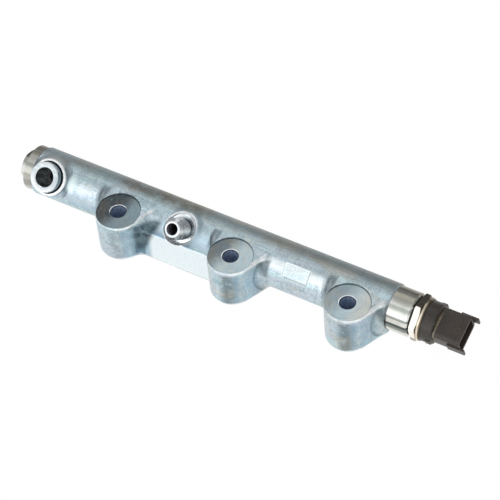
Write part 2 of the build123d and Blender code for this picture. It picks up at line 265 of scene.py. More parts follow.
def blasted_plate(here):
    """Passivation that drifts from cyan to a warm grey, blotched, with crossed polishing
    strokes and the speckle of the shot."""
    rightwards = here.x.band(-60, 60, -0.05, 0.09)
    return [(here.cool.band(0.36, 0.62), tone(204, 230, 236)),
            (here.cool.band(0.58, 0.74, 0, 0.8), tone(176, 216, 230)),
            ((here.warm + rightwards).band(0.50, 0.68, 0, 0.6), tone(216, 216, 206)),
            (here.blotch.band(0.40, 0.66, 0, 0.42), tone(146, 166, 174)),
            (here.streak.band(0.42, 0.72, 0, 0.40), tone(130, 146, 152)),
            (here.strokes.band(0.50, 0.34, 0, 0.15), tone(118, 136, 144)),
            (here.strokes.band(0.52, 0.68, 0, 0.18), tone(246, 253, 254)),
            (here.grain.band(0.46, 0.64, 0, 0.42), tone(118, 132, 138)),
            (here.grain.band(0.44, 0.32, 0, 0.45), tone(244, 252, 254))]


def tube_sheen(here):
    """Front of the tube: a painted highlight beside the stub, a paler painted highlight by the flat, and
    a cold blue tint low on the left.
    """
    x, y, z = here.x, here.y, here.z
    rise = (z - RAIL_Z) / RAIL_R
    # painted highlights on the tube's front
    shine = x.window(-130, -114, -108, -93) * z.window(15, 24, 27, 35) * y.band(17, 8)
    pale = x.window(16, 26, 62, 72) * rise.window(0.58, 0.70, 0.82, 0.93) * y.band(14, 10)
    cold = x.window(-128, -118, -100, -94) * rise.window(-0.25, 0.0, 0.5, 0.75)
    return [(shine * here.blotch.band(0.3, 0.7, 0.42, 0.15), WHITE),
            (pale * 0.5, tone(252, 252, 250)),
            (cold * 0.28, tone(120, 172, 196))]


def shaded_top(nodes, here):
    """Top and back of the tube: painted shade, and browned over the inlet."""
    brown = here.x.window(-98, -84, -40, -15) * here.over.band(10, 14.5)
    # painted shade: the top darker towards the sensor, then the top and back all along
    return [(here.x.band(0, 30, 0, 0.2) * here.over.band(9, 14), tone(120, 122, 116)),
            (here.dull_and_shaded, nodes.mix(here.warm.band(0.4, 0.6), tone(124, 136, 140), tone(142, 138, 128))),
            (brown * here.blotch.band(0.35, 0.6, 0.25, 0.55), tone(124, 108, 86))]


def inlet_painted_shade(here):
    """A dark halo over the inlet's seat as a painted shadow, and painted shade in violet under it."""
    # painted shadow round the upper right of the seat
    halo = here.from_inlet.window(11.0, 12.0, 12.5, 16.0) * here.out.band(9, 11)
    upper_right = (here.up + (here.x - INLET_X) * 0.6).band(0, 9, 0, 0.55)
    # painted shade in violet under the seat
    violet = here.from_inlet.window(11.0, 11.6, 13, 17) * here.up.band(-6, -11) * here.out.band(5, 8)
    return [(halo * upper_right, tone(92, 112, 122)),
            (violet * 0.6, tone(150, 168, 214))]


def hollow_shade(nodes, here):
    """Painted shade in the hollows and on the sides of the webs that face the sensor, but little on the
    tube over the bridge, part of which gets a painted highlight."""
    x, y, z = here.x, here.y, here.z
    hollows = here.pocket.band(0.10, 0.42, 0, 0.7).maximum(here.crest.band(-0.05, -0.15, 0, 0.72))
    webs = here.lee.band(0.45, 0.80) * y.band(14, 10) * z.band(32, 29) * x.band(99, 96)
    first_web = here.by_first_boss * y.band(-11, -5, 0, 0.85) * z.band(5, 20, 0.45, 1)
    every_web = y.band(-6, 6, 0, 0.30) + y.band(3.0, 7.5, 0, 0.55)
    # painted shade where the body closes round a point and on the walls that face the sensor
    painted_shade = (hollows * (1 - here.over_bridge * 0.85)).maximum(webs * first_web.maximum(every_web))
    # painted highlight on the tube over the bridge
    lit = x.window(-55, -50, -16, -10) * z.band(19, 22) * y.window(-2.6, 0.5, 4, 14)
    return [(painted_shade, nodes.mix(here.warm.band(0.4, 0.6), tone(50, 66, 76), tone(72, 88, 96))),
            (lit * 0.6, tone(214, 238, 252))]


def web_root_shade(here):
    """Painted shade in dark streaks on both sides of a web, where it meets the tube."""
    # painted shade in the crease between web and tube
    right = here.local.window(16.5, 18.5, 22, 24.5) * here.z.window(18, 22, 29.8, 31.4)
    right = right * here.y.window(1.5, 4, 9, 11) * (1 - here.by_first_boss)
    left = here.local.window(-20.5, -18, -14.5, -12.5) * here.y.window(0, 3, 13, 16)
    return [(right * here.blotch.band(0.3, 0.6, 0.85, 0.55), tone(58, 72, 80)),
            (left * here.z.band(26, 29) * here.blotch.band(0.3, 0.6, 0.8, 0.5), tone(74, 90, 98))]


def boss_fronts(nodes, here):
    """Fronts of the bosses: browned in the middle, bluish towards the sensor, with a painted highlight
    along the lower edge."""
    x, y, z, local = here.x, here.y, here.z, here.local
    front = y.band(-6.0, -11.5) * z.band(30.5, 28.0)
    brown = abs(local - 5.0).band(7.5, 0.5) * front * x.band(-60, -30, 0.45, 1)
    brown = brown * here.blotch.band(0.25, 0.55, 0.5, 1.0)
    blue = local.band(6.5, 10) * front.maximum(y.band(4, -2) * local.band(10, 13))
    # painted highlight along the lower edge of the fronts
    edge = z.band(4.5, 1.2) * y.band(-7, -11)
    return [(brown * 0.85, nodes.mix(here.warm.band(0.4, 0.6), tone(106, 124, 132), tone(128, 132, 126))),
            (blue * z.window(1, 5, 28, 30.5) * 0.34, tone(96, 150, 180)),
            (edge * 0.55, tone(240, 246, 248))]


def bridge_face(nodes, here):
    """Pale face of the bridge as a painted highlight, with painted shade at its foot and in the corner
    that it makes with the first boss."""
    x, y, z = here.x, here.y, here.z
    # painted highlight on the face of the bridge
    face = y.window(-4.5, -3.5, -2.4, -1.6) * x.window(-60.5, -56, -15, -12.5) * z.band(26, 24.6)
    # painted shade along the foot
    foot = y.band(-1.2, -2.0) * x.window(-68, -64, -15, -13) * z.band(2.6, 1.6)
    # painted shade in the corner by the first boss
    corner = (x - z * 0.44 + 11.3).band(-52.5, -57.0) * x.band(-68.5, -66)
    corner = corner * y.window(-9, -5, 6, 10) * z.window(2, 13, 28.5, 31)
    return [(face, nodes.mix(here.grain.band(0.4, 0.6), tone(248, 254, 255), tone(222, 236, 241))),
            (foot * 0.7, tone(128, 138, 140)),
            (corner * here.blotch.band(0.3, 0.6, 0.95, 0.7), tone(50, 66, 74))]


def edge_highlights_and_wear(here):
    """Painted highlights on the stub's mouth and the tube beside it, on the inlet's seat, and on the
    crests of the forging away from the bridge, where they also stand for wear."""
    rim = here.out.band(17.2, 17.8) * here.from_port.band(12.6, 12.2)
    seat = here.from_inlet.band(11.0, 10.7) * here.out.band(11, 12)
    seat = seat * (here.up + (here.x - INLET_X) * 0.5).band(6, -1, 0.7, 1)
    beside = (here.x - PORT_X).window(12.0, 14.5, 16.5, 19.5) * here.up.window(-7, -2, 4, 9)
    crests = here.crest.band(0.10, 0.34, 0, 0.95) * here.local.band(2, 9, 0.28, 1.0)
    crests = crests * (1 - here.over_bridge * here.y.window(-5, -4, 2, 6))
    # painted highlights on the rims, beside the stub, and on the crests with their wear
    return [(rim.maximum(seat), WHITE),
            (beside * here.out.band(8, 11) * 0.7, tone(236, 250, 252)),
            (crests * here.blotch.band(0.35, 0.6, 1.0, 0.6), WHITE)]


def zinc(nodes, at):
    """Forged steel, shot-blasted, with a blue-passivated zinc plate, painted shade in its hollows and
    painted highlights on its edges."""
    here = survey(nodes, at)
    colour = nodes.layered(tone(208, 220, 230), [
        *blasted_plate(here), *tube_sheen(here), *shaded_top(nodes, here), *inlet_painted_shade(here),
        *hollow_shade(nodes, here), *web_root_shade(here), *boss_fronts(nodes, here),
        *bridge_face(nodes, here), *edge_highlights_and_wear(here)])
    bump = nodes.bumped(here.strokes, 0.0006, 0.2)
    bump = nodes.bumped(here.grain, 0.00026, 0.6, under=bump)
    bump = nodes.bumped(here.streak, 0.0005, 0.35, under=bump)
    return {"Base Color": colour, "Normal": bump,
            "Roughness": here.grain * 0.12 + here.cool * 0.16 + 0.24 + here.dull_and_shaded * 0.1}


def spot_face(nodes, at):
    """Milled seat of a bolt head: arcs of the cutter round the hole, painted shade towards the left, most
    on the first boss, the right half of the third painted paler, a painted highlight on the rim of the
    hole and a ring of painted shade outside."""
    x, y = nodes.axes(at)[:2]
    local = from_nearest_boss(x)
    away = length(local, y)
    drift = nodes.noise(nodes.stretched(at, (0.12, 0.12, 0.12)), 1.0, 4.0, 0.6, 0.5)
    round_hole = nodes.add("CombineXYZ", {0: away * 1.5, 1: x * 0.12, 2: y * 0.12})
    arcs = nodes.noise(round_hole, 1.0, 4.0, 0.7)
    across = nodes.noise(nodes.stretched(at, (1.2, 0.4, 1.0), (0, 0, 0.35)), 1.0, 4.0, 0.7)
    first = x.band(-60, -30, 1, 0)
    # painted shade towards the left of each seat, most on the first boss
    left_shade = (local + y * -0.25 + drift * 9 - 4.5 - first * 4).band(-9.0, 2.5, 1, 0)
    colour = nodes.layered(tone(172, 190, 198), [
        (drift.band(0.4, 0.62), tone(184, 192, 190)),
        (first * 0.8, tone(112, 130, 138)),
        (left_shade * x.band(-70, 80, 0.90, 0.40),
         nodes.mix(drift.band(0.4, 0.6), tone(52, 58, 64), tone(74, 70, 64))),
        # painted highlight on the right half of the third seat
        (local.band(0, 9) * x.band(40, 60) * 0.5, tone(204, 202, 192)),
        (arcs.band(0.45, 0.7, 0, 0.42), tone(104, 116, 122)),
        (across.band(0.50, 0.7, 0, 0.10), tone(235, 242, 244)),
        # painted highlight on the upper left rim of the hole
        (away.band(HOLE_R + 1.2, HOLE_R + 0.9) * (y - local).band(0, 4), tone(240, 246, 248)),
        # painted shade in a ring at the back of the seat
        (away.band(SPOT_R - 0.7, SPOT_R - 0.2, 0, 0.75) * y.band(-4, 4), tone(50, 58, 64))])
    return {"Base Color": colour, "Roughness": drift * 0.12 + 0.28,
            "Normal": nodes.bumped(arcs, 0.00025, 0.4)}


def marking_flat(nodes, at):
    """Bare ground flat, clean and bright, its lower and right rims in painted shadow and its upper and
    left rims a painted highlight.
    """
    x, y, z = nodes.axes(at)
    along = x - FLAT_X
    across = ((y - RAIL_Y) + (z - RAIL_Z)) / sqrt(2)
    fine = nodes.noise(at, 1.1, 4.0, 0.65)
    drift = nodes.noise(nodes.stretched(at, (0.12, 0.25, 0.25)), 1.0, 3.0, 0.6)
    colour = nodes.layered(tone(206, 222, 228), [
        (drift.band(0.4, 0.6), tone(222, 230, 230)),
        (fine.band(0.44, 0.62, 0, 0.35), tone(144, 158, 164)),
        # painted shadow on the lower and right rims
        (across.band(-3.7, -4.5).maximum(along.band(7.4, 8.4)) * 0.55, tone(84, 98, 106)),
        # painted highlight on the upper and left rims
        (across.band(4.0, 4.6).maximum(along.band(-7.5, -8.3)) * 0.5, tone(250, 254, 254))])
    return {"Base Color": colour, "Roughness": fine * 0.15 + 0.26,
            "Normal": nodes.bumped(fine, 0.0002, 0.4)}


# --- turned steel and the other finishes --------------------------------------------
def turned_steel(nodes, at, shades=(tone(226, 227, 226), tone(205, 205, 200))):
    """Bright turned steel with the fine rings that the tool leaves along its axis."""
    rings = nodes.noise(nodes.stretched(at, (5.0, 0.05, 0.05)), 1.0, 3.0, 0.6)
    drift = nodes.noise(nodes.stretched(at, (0.1, 0.1, 0.1)), 1.0, 3.0, 0.5)
    return {"Base Color": nodes.mix(drift.band(0.35, 0.65), *shades), "Roughness": rings * 0.14 + 0.12,
            "Normal": nodes.bumped(rings, 0.00006, 0.5)}


def port_steel(nodes, at):
    """Bright turned steel of the unions and the nose, with painted shade in rings in its grooves, under
    its threads and on the nose's side wall.
    """
    groove = nodes.attribute("groove")
    drift = nodes.noise(nodes.stretched(at, (0.15, 0.15, 0.15)), 1.0, 3.0, 0.5)
    fine = nodes.noise(at, 2.5, 4.0, 0.6)
    rings = nodes.noise(nodes.stretched(at, (0.05, 0.60, 0.05), (-TILT, 0, 0)), 1.0, 2.0, 0.5)
    colour = nodes.layered(tone(236, 240, 242), [
        (drift.band(0.35, 0.65), tone(216, 224, 228)),
        # painted shade, as much as the groove attribute gives
        (groove, nodes.mix(rings.band(0.50, 0.64), tone(30, 40, 48), tone(150, 162, 168))),
        # painted shade on the nose's side wall
        (groove.band(0.90, 1.0), tone(118, 138, 146))])
    return {"Base Color": colour, "Roughness": fine * 0.14 + 0.14,
            "Normal": nodes.bumped(fine, 0.00005, 0.4)}


def journal_steel(nodes, at):
    """Turned ends of the rail: plating worn to a yellowish grey, with painted shade in brown over the
    top, the right end given painted reflections in bands that run along it and a painted shadow at its
    shoulder."""
    x, y, z = nodes.axes(at)
    finish = turned_steel(nodes, at, (tone(232, 232, 226), tone(212, 212, 204)))
    rise = (z - RAIL_Z) / RIGHT_R
    back = y - RAIL_Y
    facing = back.band(1.0, -1.0)
    right = x.band(-10, 10)
    # painted reflections in bands along the front of the right end
    wide_band = rise.window(-0.16, -0.02, 0.20, 0.28) * (0.35 + right * 0.5)
    line = rise.window(0.42, 0.47, 0.53, 0.58) * (0.3 + right * 0.4)
    soft_band = rise.window(0.74, 0.84, 0.88, 0.93) * 0.6
    core = rise.window(0.07, 0.14, 0.21, 0.27) * right * 0.9
    # painted shade in brown over the top and back
    top = back.band(-5.5, -0.5, 0, 0.48) + back.band(4.0, 8.0, 0, 0.40)
    # painted shadow at the shoulder by the forging
    shoulder = (x - RIGHT).band(1.4, 0.4) * right * rise.band(0.6, 0.3)
    finish["Base Color"] = nodes.layered(finish["Base Color"], [
        ((wide_band + line + soft_band) * facing, tone(112, 120, 116)),
        (core * facing, tone(74, 82, 80)),
        (top + back.window(-3, -0.6, 0.8, 2.2) * 0.3, tone(98, 92, 76)),
        # painted shade over the top of the left end
        ((1 - right) * rise.band(-0.5, 0.0, 0.12, 0.42), tone(112, 110, 100)),
        (shoulder * 0.7, tone(64, 64, 62))])
    finish["Roughness"] = finish["Roughness"] + right.band(0, 1, 0.16, -0.04)
    return finish


def plug_steel(nodes, at):
    """Closing plug: turned steel, with painted shade in brown on its upper flats."""
    finish = turned_steel(nodes, at)
    # painted shade on the upper flats
    upper = (nodes.axes(at)[2] - RAIL_Z).band(5.0, 8.0, 0, 0.75)
    finish["Base Color"] = nodes.mix(upper, finish["Base Color"], tone(88, 80, 68))
    return finish


def bore_dark(nodes, at):
    """Drilled wall of a bolt hole: slightly blue, with painted shade dark at its mouth."""
    fine = nodes.noise(at, 1.2, 3.0, 0.6)
    # painted shade on the chamfer at the mouth
    mouth = nodes.axes(at)[2].band(BOSS_H - 0.75, BOSS_H - 0.5)
    colour = nodes.layered(tone(164, 184, 214), [(fine.band(0.35, 0.65), tone(110, 124, 152)),
                                                 (mouth, tone(36, 44, 66))])
    return {"Base Color": colour, "Roughness": fine * 0.2 + 0.3}


def port_bore(nodes, at):
    """Reamed wall of the side port, greyer than the steel outside."""
    fine = nodes.noise(at, 0.8, 3.0, 0.6)
    return {"Base Color": nodes.mix(fine.band(0.4, 0.62), tone(140, 146, 150), tone(200, 198, 194)),
            "Roughness": fine * 0.2 + 0.30}


def darker_cone(nodes, at):
    """Inside of a union's mouth, darker than its outside."""
    fine = nodes.noise(at, 0.9, 3.0, 0.6)
    return {"Base Color": nodes.mix(fine.band(0.4, 0.65), tone(120, 118, 128), tone(170, 166, 166)),
            "Roughness": fine * 0.2 + 0.16}


def nickel(nodes, at):
    """Nickelled hexagon of the sensor, with painted shade in brown on its upper and lower flats."""
    y, z = nodes.axes(at)[1:]
    back = y - RAIL_Y
    drift = nodes.noise(nodes.stretched(at, (0.3, 0.12, 0.12)), 1.0, 3.0, 0.5)
    fine = nodes.noise(at, 1.2, 3.0, 0.6)
    lower = z.window(6, 9, 11.5, 12.5) * back.band(-8, -10)
    colour = nodes.layered(tone(255, 252, 244), [
        (drift.band(0.35, 0.65), tone(244, 236, 222)),
        # painted shade in brown on the flats that face back
        (back.band(-3.6, -2.6) * 0.92,
         nodes.mix(fine.band(0.4, 0.6), tone(54, 48, 38), tone(92, 84, 68))),
        # painted shade on the lower flats
        (lower * 0.75, tone(128, 112, 94))])
    return {"Base Color": colour, "Roughness": drift * 0.12 + 0.14}


def crimped_ring(nodes, at):
    """Crimped ring, yellow passivated: brown, with a bright raised edge."""
    x, y = nodes.axes(at)[:2]
    drift = nodes.noise(nodes.stretched(at, (0.6, 0.15, 0.15)), 1.0, 3.0, 0.6)
    edge = (x - RING_X).window(0.4, 0.8, 1.4, 1.9)
    colour = nodes.layered(tone(104, 94, 80), [
        (edge, nodes.mix(drift.band(0.35, 0.65), tone(246, 234, 214), tone(196, 178, 154))),
        ((y - RAIL_Y).band(-5, 6, 0, 0.7), tone(84, 76, 62))])
    return {"Base Color": colour, "Roughness": drift * 0.15 + 0.2}


def plastic(nodes, at):
    """Glass-filled nylon, brown-black with a moulded grain: a darker collar with painted highlights in
    patches, and a painted highlight in a pale line where the shroud starts."""
    x, y = nodes.axes(at)[:2]
    along = x - SHROUD_X
    grain = nodes.noise(at, 3.0, 3.0, 0.6)
    drift = nodes.noise(nodes.stretched(at, (0.12, 0.12, 0.12)), 1.0, 3.0, 0.5)
    highlight_patches = nodes.noise(at, 0.5, 4.0, 0.7, 0.4)
    collar = along.band(0.2, -0.8)
    start = along.window(-0.2, 0.1, 0.8, 1.2) * (y - RAIL_Y).band(6, -1)
    colour = nodes.layered(tone(47, 39, 33), [
        (drift.band(0.3, 0.7), tone(60, 50, 43)),
        (collar * 0.6, tone(38, 34, 30)),
        # painted highlights in patches, most on the collar
        (highlight_patches.band(0.56, 0.68, 0, 0.5) * (collar * 0.75 + 0.12), tone(122, 122, 108)),
        # painted highlight along the front of the shroud's start
        (start * highlight_patches.band(0.4, 0.55, 0.5, 0.9), tone(134, 124, 106))])
    return {"Base Color": colour, "Roughness": grain * 0.12 + 0.36,
            "Normal": nodes.bumped(grain, 0.0001, 0.5)}


def rubber(nodes, at):
    """Black rubber of the sensor's seal."""
    fine = nodes.noise(at, 2.0, 2.0, 0.5)
    return {"Base Color": nodes.mix(fine, tone(30, 30, 30), tone(42, 42, 42)),
            "Roughness": fine * 0.2 + 0.5}


def board_green(nodes, at):
    """Solder resist of the sensor's circuit board."""
    fine = nodes.noise(at, 0.8, 2.0, 0.5)
    return {"Base Color": nodes.mix(fine, tone(20, 92, 52), tone(30, 110, 64)),
            "Roughness": fine * 0.2 + 0.35}


def tin(nodes, at):
    """Tinned bronze of the terminals."""
    fine = nodes.noise(at, 2.0, 3.0, 0.5)
    return {"Base Color": nodes.mix(fine, tone(224, 222, 214), tone(206, 203, 194)),
            "Roughness": fine * 0.15 + 0.2}


ZINC = new_material("zinc_plate", zinc, 1.0)
SPOT = new_material("spot_face", spot_face, 1.0)
HOLE = new_material("drilled_wall", bore_dark, 0.35)
FLAT = new_material("marking_flat", marking_flat, 1.0)
BORE = new_material("port_bore", port_bore, 0.75)
MOUTH = new_material("darker_cone", darker_cone, 1.0)
STEEL = new_material("turned_steel", turned_steel, 1.0)
PLUG = new_material("plug_steel", plug_steel, 1.0)
PORT = new_material("port_steel", port_steel, 1.0)
JOURNAL = new_material("journal_steel", journal_steel, 1.0)
NICKEL = new_material("nickel_plate", nickel, 1.0)
RING = new_material("crimp_ring", crimped_ring, 1.0)
PLASTIC = new_material("connector_plastic", plastic)
RUBBER = new_material("seal_rubber", rubber)
BOARD = new_material("board_green", board_green)
TIN = new_material("tinned_bronze", tin, 1.0)


# --- meshes ---------------------------------------------------------------------
def read_rows(items, name, width=3, kind=float):
    """One row of numbers for each vertex, face or corner of a mesh."""
    values = np.zeros(len(items) * width, kind)
    items.foreach_get(name, values)
    return values.reshape(-1, width) if width > 1 else values


def points_of(piece):
    """Vertices of a piece in millimetres."""
    return read_rows(piece.data.vertices, "co") / MM


def write_attribute(piece, name, values):
    """One number for each vertex, for its material to read."""
    attribute = piece.data.attributes.new(name, "FLOAT", "POINT")
    attribute.data.foreach_set("value", values.astype(np.float32))


def new_piece(name, points, faces, material=None):
    """Object from points in millimetres and faces, smooth but for its sharp edges."""
    mesh = bpy.data.meshes.new(name)
    mesh.from_pydata((np.asarray(points, float) * MM).tolist(), [], [list(f) for f in faces])
    mesh.validate()
    mesh.update()
    mesh.polygons.foreach_set("use_smooth", np.ones(len(mesh.polygons), bool))
    mesh.set_sharp_from_angle(angle=SHARP)
    piece = bpy.data.objects.new(name, mesh)
    bpy.context.scene.collection.objects.link(piece)
    if material:
        mesh.materials.append(material)
    return piece


def grid_faces(rows, columns, wrap_rows=False):
    """Quads of a rows x columns grid of points whose columns close into a ring, and whose
    rows do too if asked."""
    i = np.arange(rows if wrap_rows else rows - 1)[:, None]
    j = np.arange(columns)[None, :]
    i2, j2 = (i + 1) % rows, (j + 1) % columns
    return np.stack([i * columns + j, i2 * columns + j, i2 * columns + j2, i * columns + j2],
                    -1).reshape(-1, 4)


def capped_faces(rows, columns):
    """Faces of such a grid, with its first and last ring filled."""
    last = rows * columns
    ends = [list(range(columns)), list(range(last - 1, last - columns - 1, -1))]
    return grid_faces(rows, columns).tolist() + ends


def rounded(corners, closed=False):
    """Line through corners (a, b, radius): each corner becomes an arc of its radius
    that leaves both sides at the same distance, radius / tan(half the angle)."""
    corners = [np.array(c, float) for c in corners]
    line = []
    n = len(corners)
    for k, c in enumerate(corners):
        p, r = c[:2], (c[2] if len(c) > 2 else 0.0)
        if r <= 0 or (not closed and k in (0, n - 1)):
            line.append(p[None])
            continue
        u = corners[k - 1][:2] - p
        v = corners[(k + 1) % n][:2] - p
        u, v = u / np.linalg.norm(u), v / np.linalg.norm(v)
        half = np.arccos(np.clip(u @ v, -1, 1)) / 2
        middle = p + (u + v) / np.linalg.norm(u + v) * r / sin(half)
        start, end = p + u * r / tan(half) - middle, p + v * r / tan(half) - middle
        turn = atan2(start[0] * end[1] - start[1] * end[0], start @ end)
        t = np.linspace(0, turn, ARC_STEPS + 1)[:, None]
        line.append(middle + start * np.cos(t) + np.array([-start[1], start[0]]) * np.sin(t))
    return np.concatenate(line)


def around(a, r, turn, origin, along):
    """Points at distance a along an axis, r from it, at an angle turn round it."""
    along = np.array(along, float) / np.linalg.norm(along)
    side = np.array((1.0, 0, 0)) if abs(along[0]) < 0.9 else np.array((0, -1.0, 0))
    up = np.cross(side, along)
    a, r, turn = np.broadcast_arrays(a, r, turn)
    return (np.array(origin, float) + a[..., None] * along
            + (r * np.cos(turn))[..., None] * side + (r * np.sin(turn))[..., None] * up)


def turned(name, profile, origin, along, material=None, segments=96, limit=None, closed=True):
    """Profile of (distance along the axis, radius) carried round the axis. limit is a
    function (a, turn) that gives the greatest radius there, for flats and threads."""
    profile = np.asarray(profile, float)
    turn = np.arange(segments) / segments * 2 * pi
    a, r = profile[:, :1] + 0 * turn, profile[:, 1:] + 0 * turn
    if limit is not None:
        r = np.minimum(r, limit(a, turn[None] + 0 * a))
    points = around(a, r, turn[None], origin, along).reshape(-1, 3)
    faces = grid_faces(len(profile), segments, wrap_rows=closed)
    return finish_mesh(new_piece(name, points, faces, material))


def finish_mesh(piece):
    """Merges doubles, so that poles and seams close, and turns the faces outwards."""
    work = bmesh.new()
    work.from_mesh(piece.data)
    bmesh.ops.remove_doubles(work, verts=work.verts, dist=1e-7)
    bare = [e for e in work.edges if not e.link_faces]
    bmesh.ops.delete(work, geom=bare, context="EDGES")
    bmesh.ops.recalc_face_normals(work, faces=work.faces)
    work.to_mesh(piece.data)
    work.free()
    piece.data.set_sharp_from_angle(angle=SHARP)
    return piece


def part(piece, slot, *nodes):
    """A finished piece on the one body, and the nodes it stands for hidden; slot is not used."""
    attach(piece, "root")
    if nodes:
        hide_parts(*nodes)
    return piece


def port(turn):
    """Direction of a port: turned by an angle from straight ahead up over the rail."""
    return (0, -cos(turn), sin(turn))


def rail_point(x):
    """Point of the rail's axis."""
    return (x, RAIL_Y, RAIL_Z)


def port_frame(p):
    """How far points lie out along the inlet's and the side port's direction, and up across
    it, from the rail's axis."""
    y, z = p[..., 1] - RAIL_Y, p[..., 2] - RAIL_Z
    return z * sin(TILT) - y * cos(TILT), y * cos(TILT) + z * sin(TILT)


# --- forged body ----------------------------------------------------------------
def join(a, b, r):
    """Two distances as one body, with a round hollow of radius r in the corner."""
    corner = np.sqrt(np.maximum(r - a, 0) ** 2 + np.maximum(r - b, 0) ** 2)
    return np.maximum(r, np.minimum(a, b)) - corner


def common(a, b, r):
    """What two distances share, its edge rounded to radius r."""
    corner = np.sqrt(np.maximum(r + a, 0) ** 2 + np.maximum(r + b, 0) ** 2)
    return np.minimum(-r, np.maximum(a, b)) + corner


def boss_distance(x, y, z, centre):
    """Distance to one boss and its web: in plan a circle whose two tangents lean out to
    the tube, cut off by the crown, the foot and a 45 degree plane under the web."""
    side, lean = np.abs(x - centre), np.where(x > centre, LEAN_RIGHT, LEAN_LEFT)
    on_wall = side * np.sin(lean) + y * np.cos(lean) > 0
    plan = np.where(on_wall, side * np.cos(lean) - y * np.sin(lean), np.hypot(side, y)) - BOSS_R
    form = common(plan, z - BOSS_H - 0.6, 1.9)
    form = common(form, -z, 3.8)
    form = common(form, (y - FOOT - z) / sqrt(2), 1.6)
    return common(form, y - 14.0, 8.0)


def bridge_distance(x, y, z):
    """Distance to the bridge between the first two bosses: a wall with a face, a top that
    falls towards it, a foot and a 45 degree underside."""
    slope = radians(16)
    top = (z - BRIDGE_H) * cos(slope) - (y - BRIDGE_Y) * sin(slope)
    form = common(BRIDGE_Y - y, top, 0.7)
    form = common(form, 1.0 - z, 1.0)
    form = common(form, (y - FOOT - z) / sqrt(2), 1.6)
    form = common(form, y - 12.0, 5.0)
    return np.maximum(form, np.abs(x + BOSS_PITCH / 2) - BOSS_PITCH / 2)


def forging_distance(p):
    """Signed distance to the forging: tube, three webs, bridge and stub, all blended. The
    hollow between bridge and first boss is the widest, and narrows towards the foot."""
    x, y, z = p[..., 0], p[..., 1], p[..., 2]
    tube = np.hypot(y - RAIL_Y, z - RAIL_Z) - RAIL_R
    bosses = np.minimum.reduce([boss_distance(x, y, z, c) for c in BOSSES])
    out, up = port_frame(p)
    stub = common(np.hypot(x - PORT_X, up) - STUB_R, out - STUB_REACH, 0.9)
    stub = np.maximum(stub, -out)
    by_first_boss = np.clip((-42 - x) / 10, 0, 1) * np.clip((z - 4) / 16, 0.35, 1)
    feet = np.maximum(join(bosses, bridge_distance(x, y, z), 1.2 + 6.8 * by_first_boss), -z)
    body = join(join(tube, feet, 4.6), stub, 3.6)
    return np.maximum(body, np.maximum(LEFT - 2 - x, x - RIGHT - 2))


def slope_of(field, p, e=0.02):
    """Unit direction in which a distance field grows fastest."""
    grad = np.stack([field(p + e * axis) - field(p - e * axis) for axis in np.eye(3)], -1)
    return grad / np.maximum(np.linalg.norm(grad, axis=-1, keepdims=True), 1e-9)


def surface_net(field, low, high, step):
    """Quads on the zero surface of a field: one point in each grid cell that the surface
    passes, at the mean of its crossings of the cell's edges, then moved onto the surface."""
    ticks = [np.arange(lo, hi + step, step) for lo, hi in zip(low, high)]
    value = field(np.stack(np.meshgrid(*ticks, indexing="ij"), -1))
    shape = np.array(value.shape) - 1
    total, count = np.zeros((*shape, 3)), np.zeros(shape)
    crossings = []
    for axis in range(3):
        a = np.take(value, range(value.shape[axis] - 1), axis)
        b = np.take(value, range(1, value.shape[axis]), axis)
        cut = np.argwhere((a < 0) != (b < 0))
        va, vb = a[tuple(cut.T)], b[tuple(cut.T)]
        point = cut.astype(float)
        point[:, axis] += va / (va - vb)
        crossings.append((axis, cut, va < 0))
        others = [k for k in range(3) if k != axis]
        for back in ((0, 0), (0, 1), (1, 0), (1, 1)):
            cell = cut.copy()
            cell[:, others] -= back
            good = ((cell >= 0) & (cell < shape)).all(1)
            at = tuple(cell[good].T)
            np.add.at(total, at, point[good])
            np.add.at(count, at, 1)
    used = count > 0
    number = np.full(shape, -1)
    number[used] = np.arange(used.sum())
    points = np.array(low) + total[used] / count[used][:, None] * step
    quads = []
    for axis, cut, inwards in crossings:
        following = [(axis + 1) % 3, (axis + 2) % 3]
        ring = np.stack([cut] * 4, 1)
        ring[:, :, following] += np.array(((0, 0), (-1, 0), (-1, -1), (0, -1)))
        good = ((ring >= 0) & (ring < shape)).all((1, 2))
        ring, flip = ring[good], ~inwards[good]
        quad = number[ring[..., 0], ring[..., 1], ring[..., 2]]
        quad[flip] = quad[flip][:, ::-1]
        quads.append(quad)
    for _ in range(4):
        points -= np.clip(field(points), -step / 2, step / 2)[:, None] * slope_of(field, points)
    return points, np.concatenate(quads)


def cut_away(piece, tools):
    """Takes the tools' solids out of the piece, and the tools out of the scene."""
    for tool in tools:
        cut = piece.modifiers.new(tool.name, "BOOLEAN")
        cut.operation, cut.solver, cut.object = "DIFFERENCE", "MANIFOLD", tool
    bpy.context.view_layer.update()
    seen = piece.evaluated_get(bpy.context.evaluated_depsgraph_get())
    mesh = bpy.data.meshes.new_from_object(seen)
    piece.modifiers.clear()
    piece.data = mesh
    for tool in tools:
        bpy.data.objects.remove(tool)
    return piece


def drill(name, steps, origin, along, segments=96):
    """Turned tool: from the axis through steps of (distance, radius) and back to it."""
    profile = [(steps[0][0], 0), *steps, (steps[-1][0], 0)]
    return turned("cut_" + name, profile, origin, along, segments=segments)


def end_tools():
    """Cut the ends of the net off square, chamfer the tube there and bore it through."""
    clear = 45
    return [
        turned("cut_left_end", [(-30, 0), (0, 0), (0, RAIL_R - 1.6), (1.6, RAIL_R), (1.6, clear),
                                (-30, clear)], rail_point(LEFT), (1, 0, 0), segments=160),
        turned("cut_right_end", [(30, 0), (0, 0), (0, RAIL_R - 0.7), (-0.7, RAIL_R + 0.1),
                                 (0, clear), (30, clear)], rail_point(RIGHT), (1, 0, 0), segments=160),
        drill("bore", [(-20, BORE_R), (300, BORE_R)], rail_point(LEFT), (1, 0, 0), 64)]


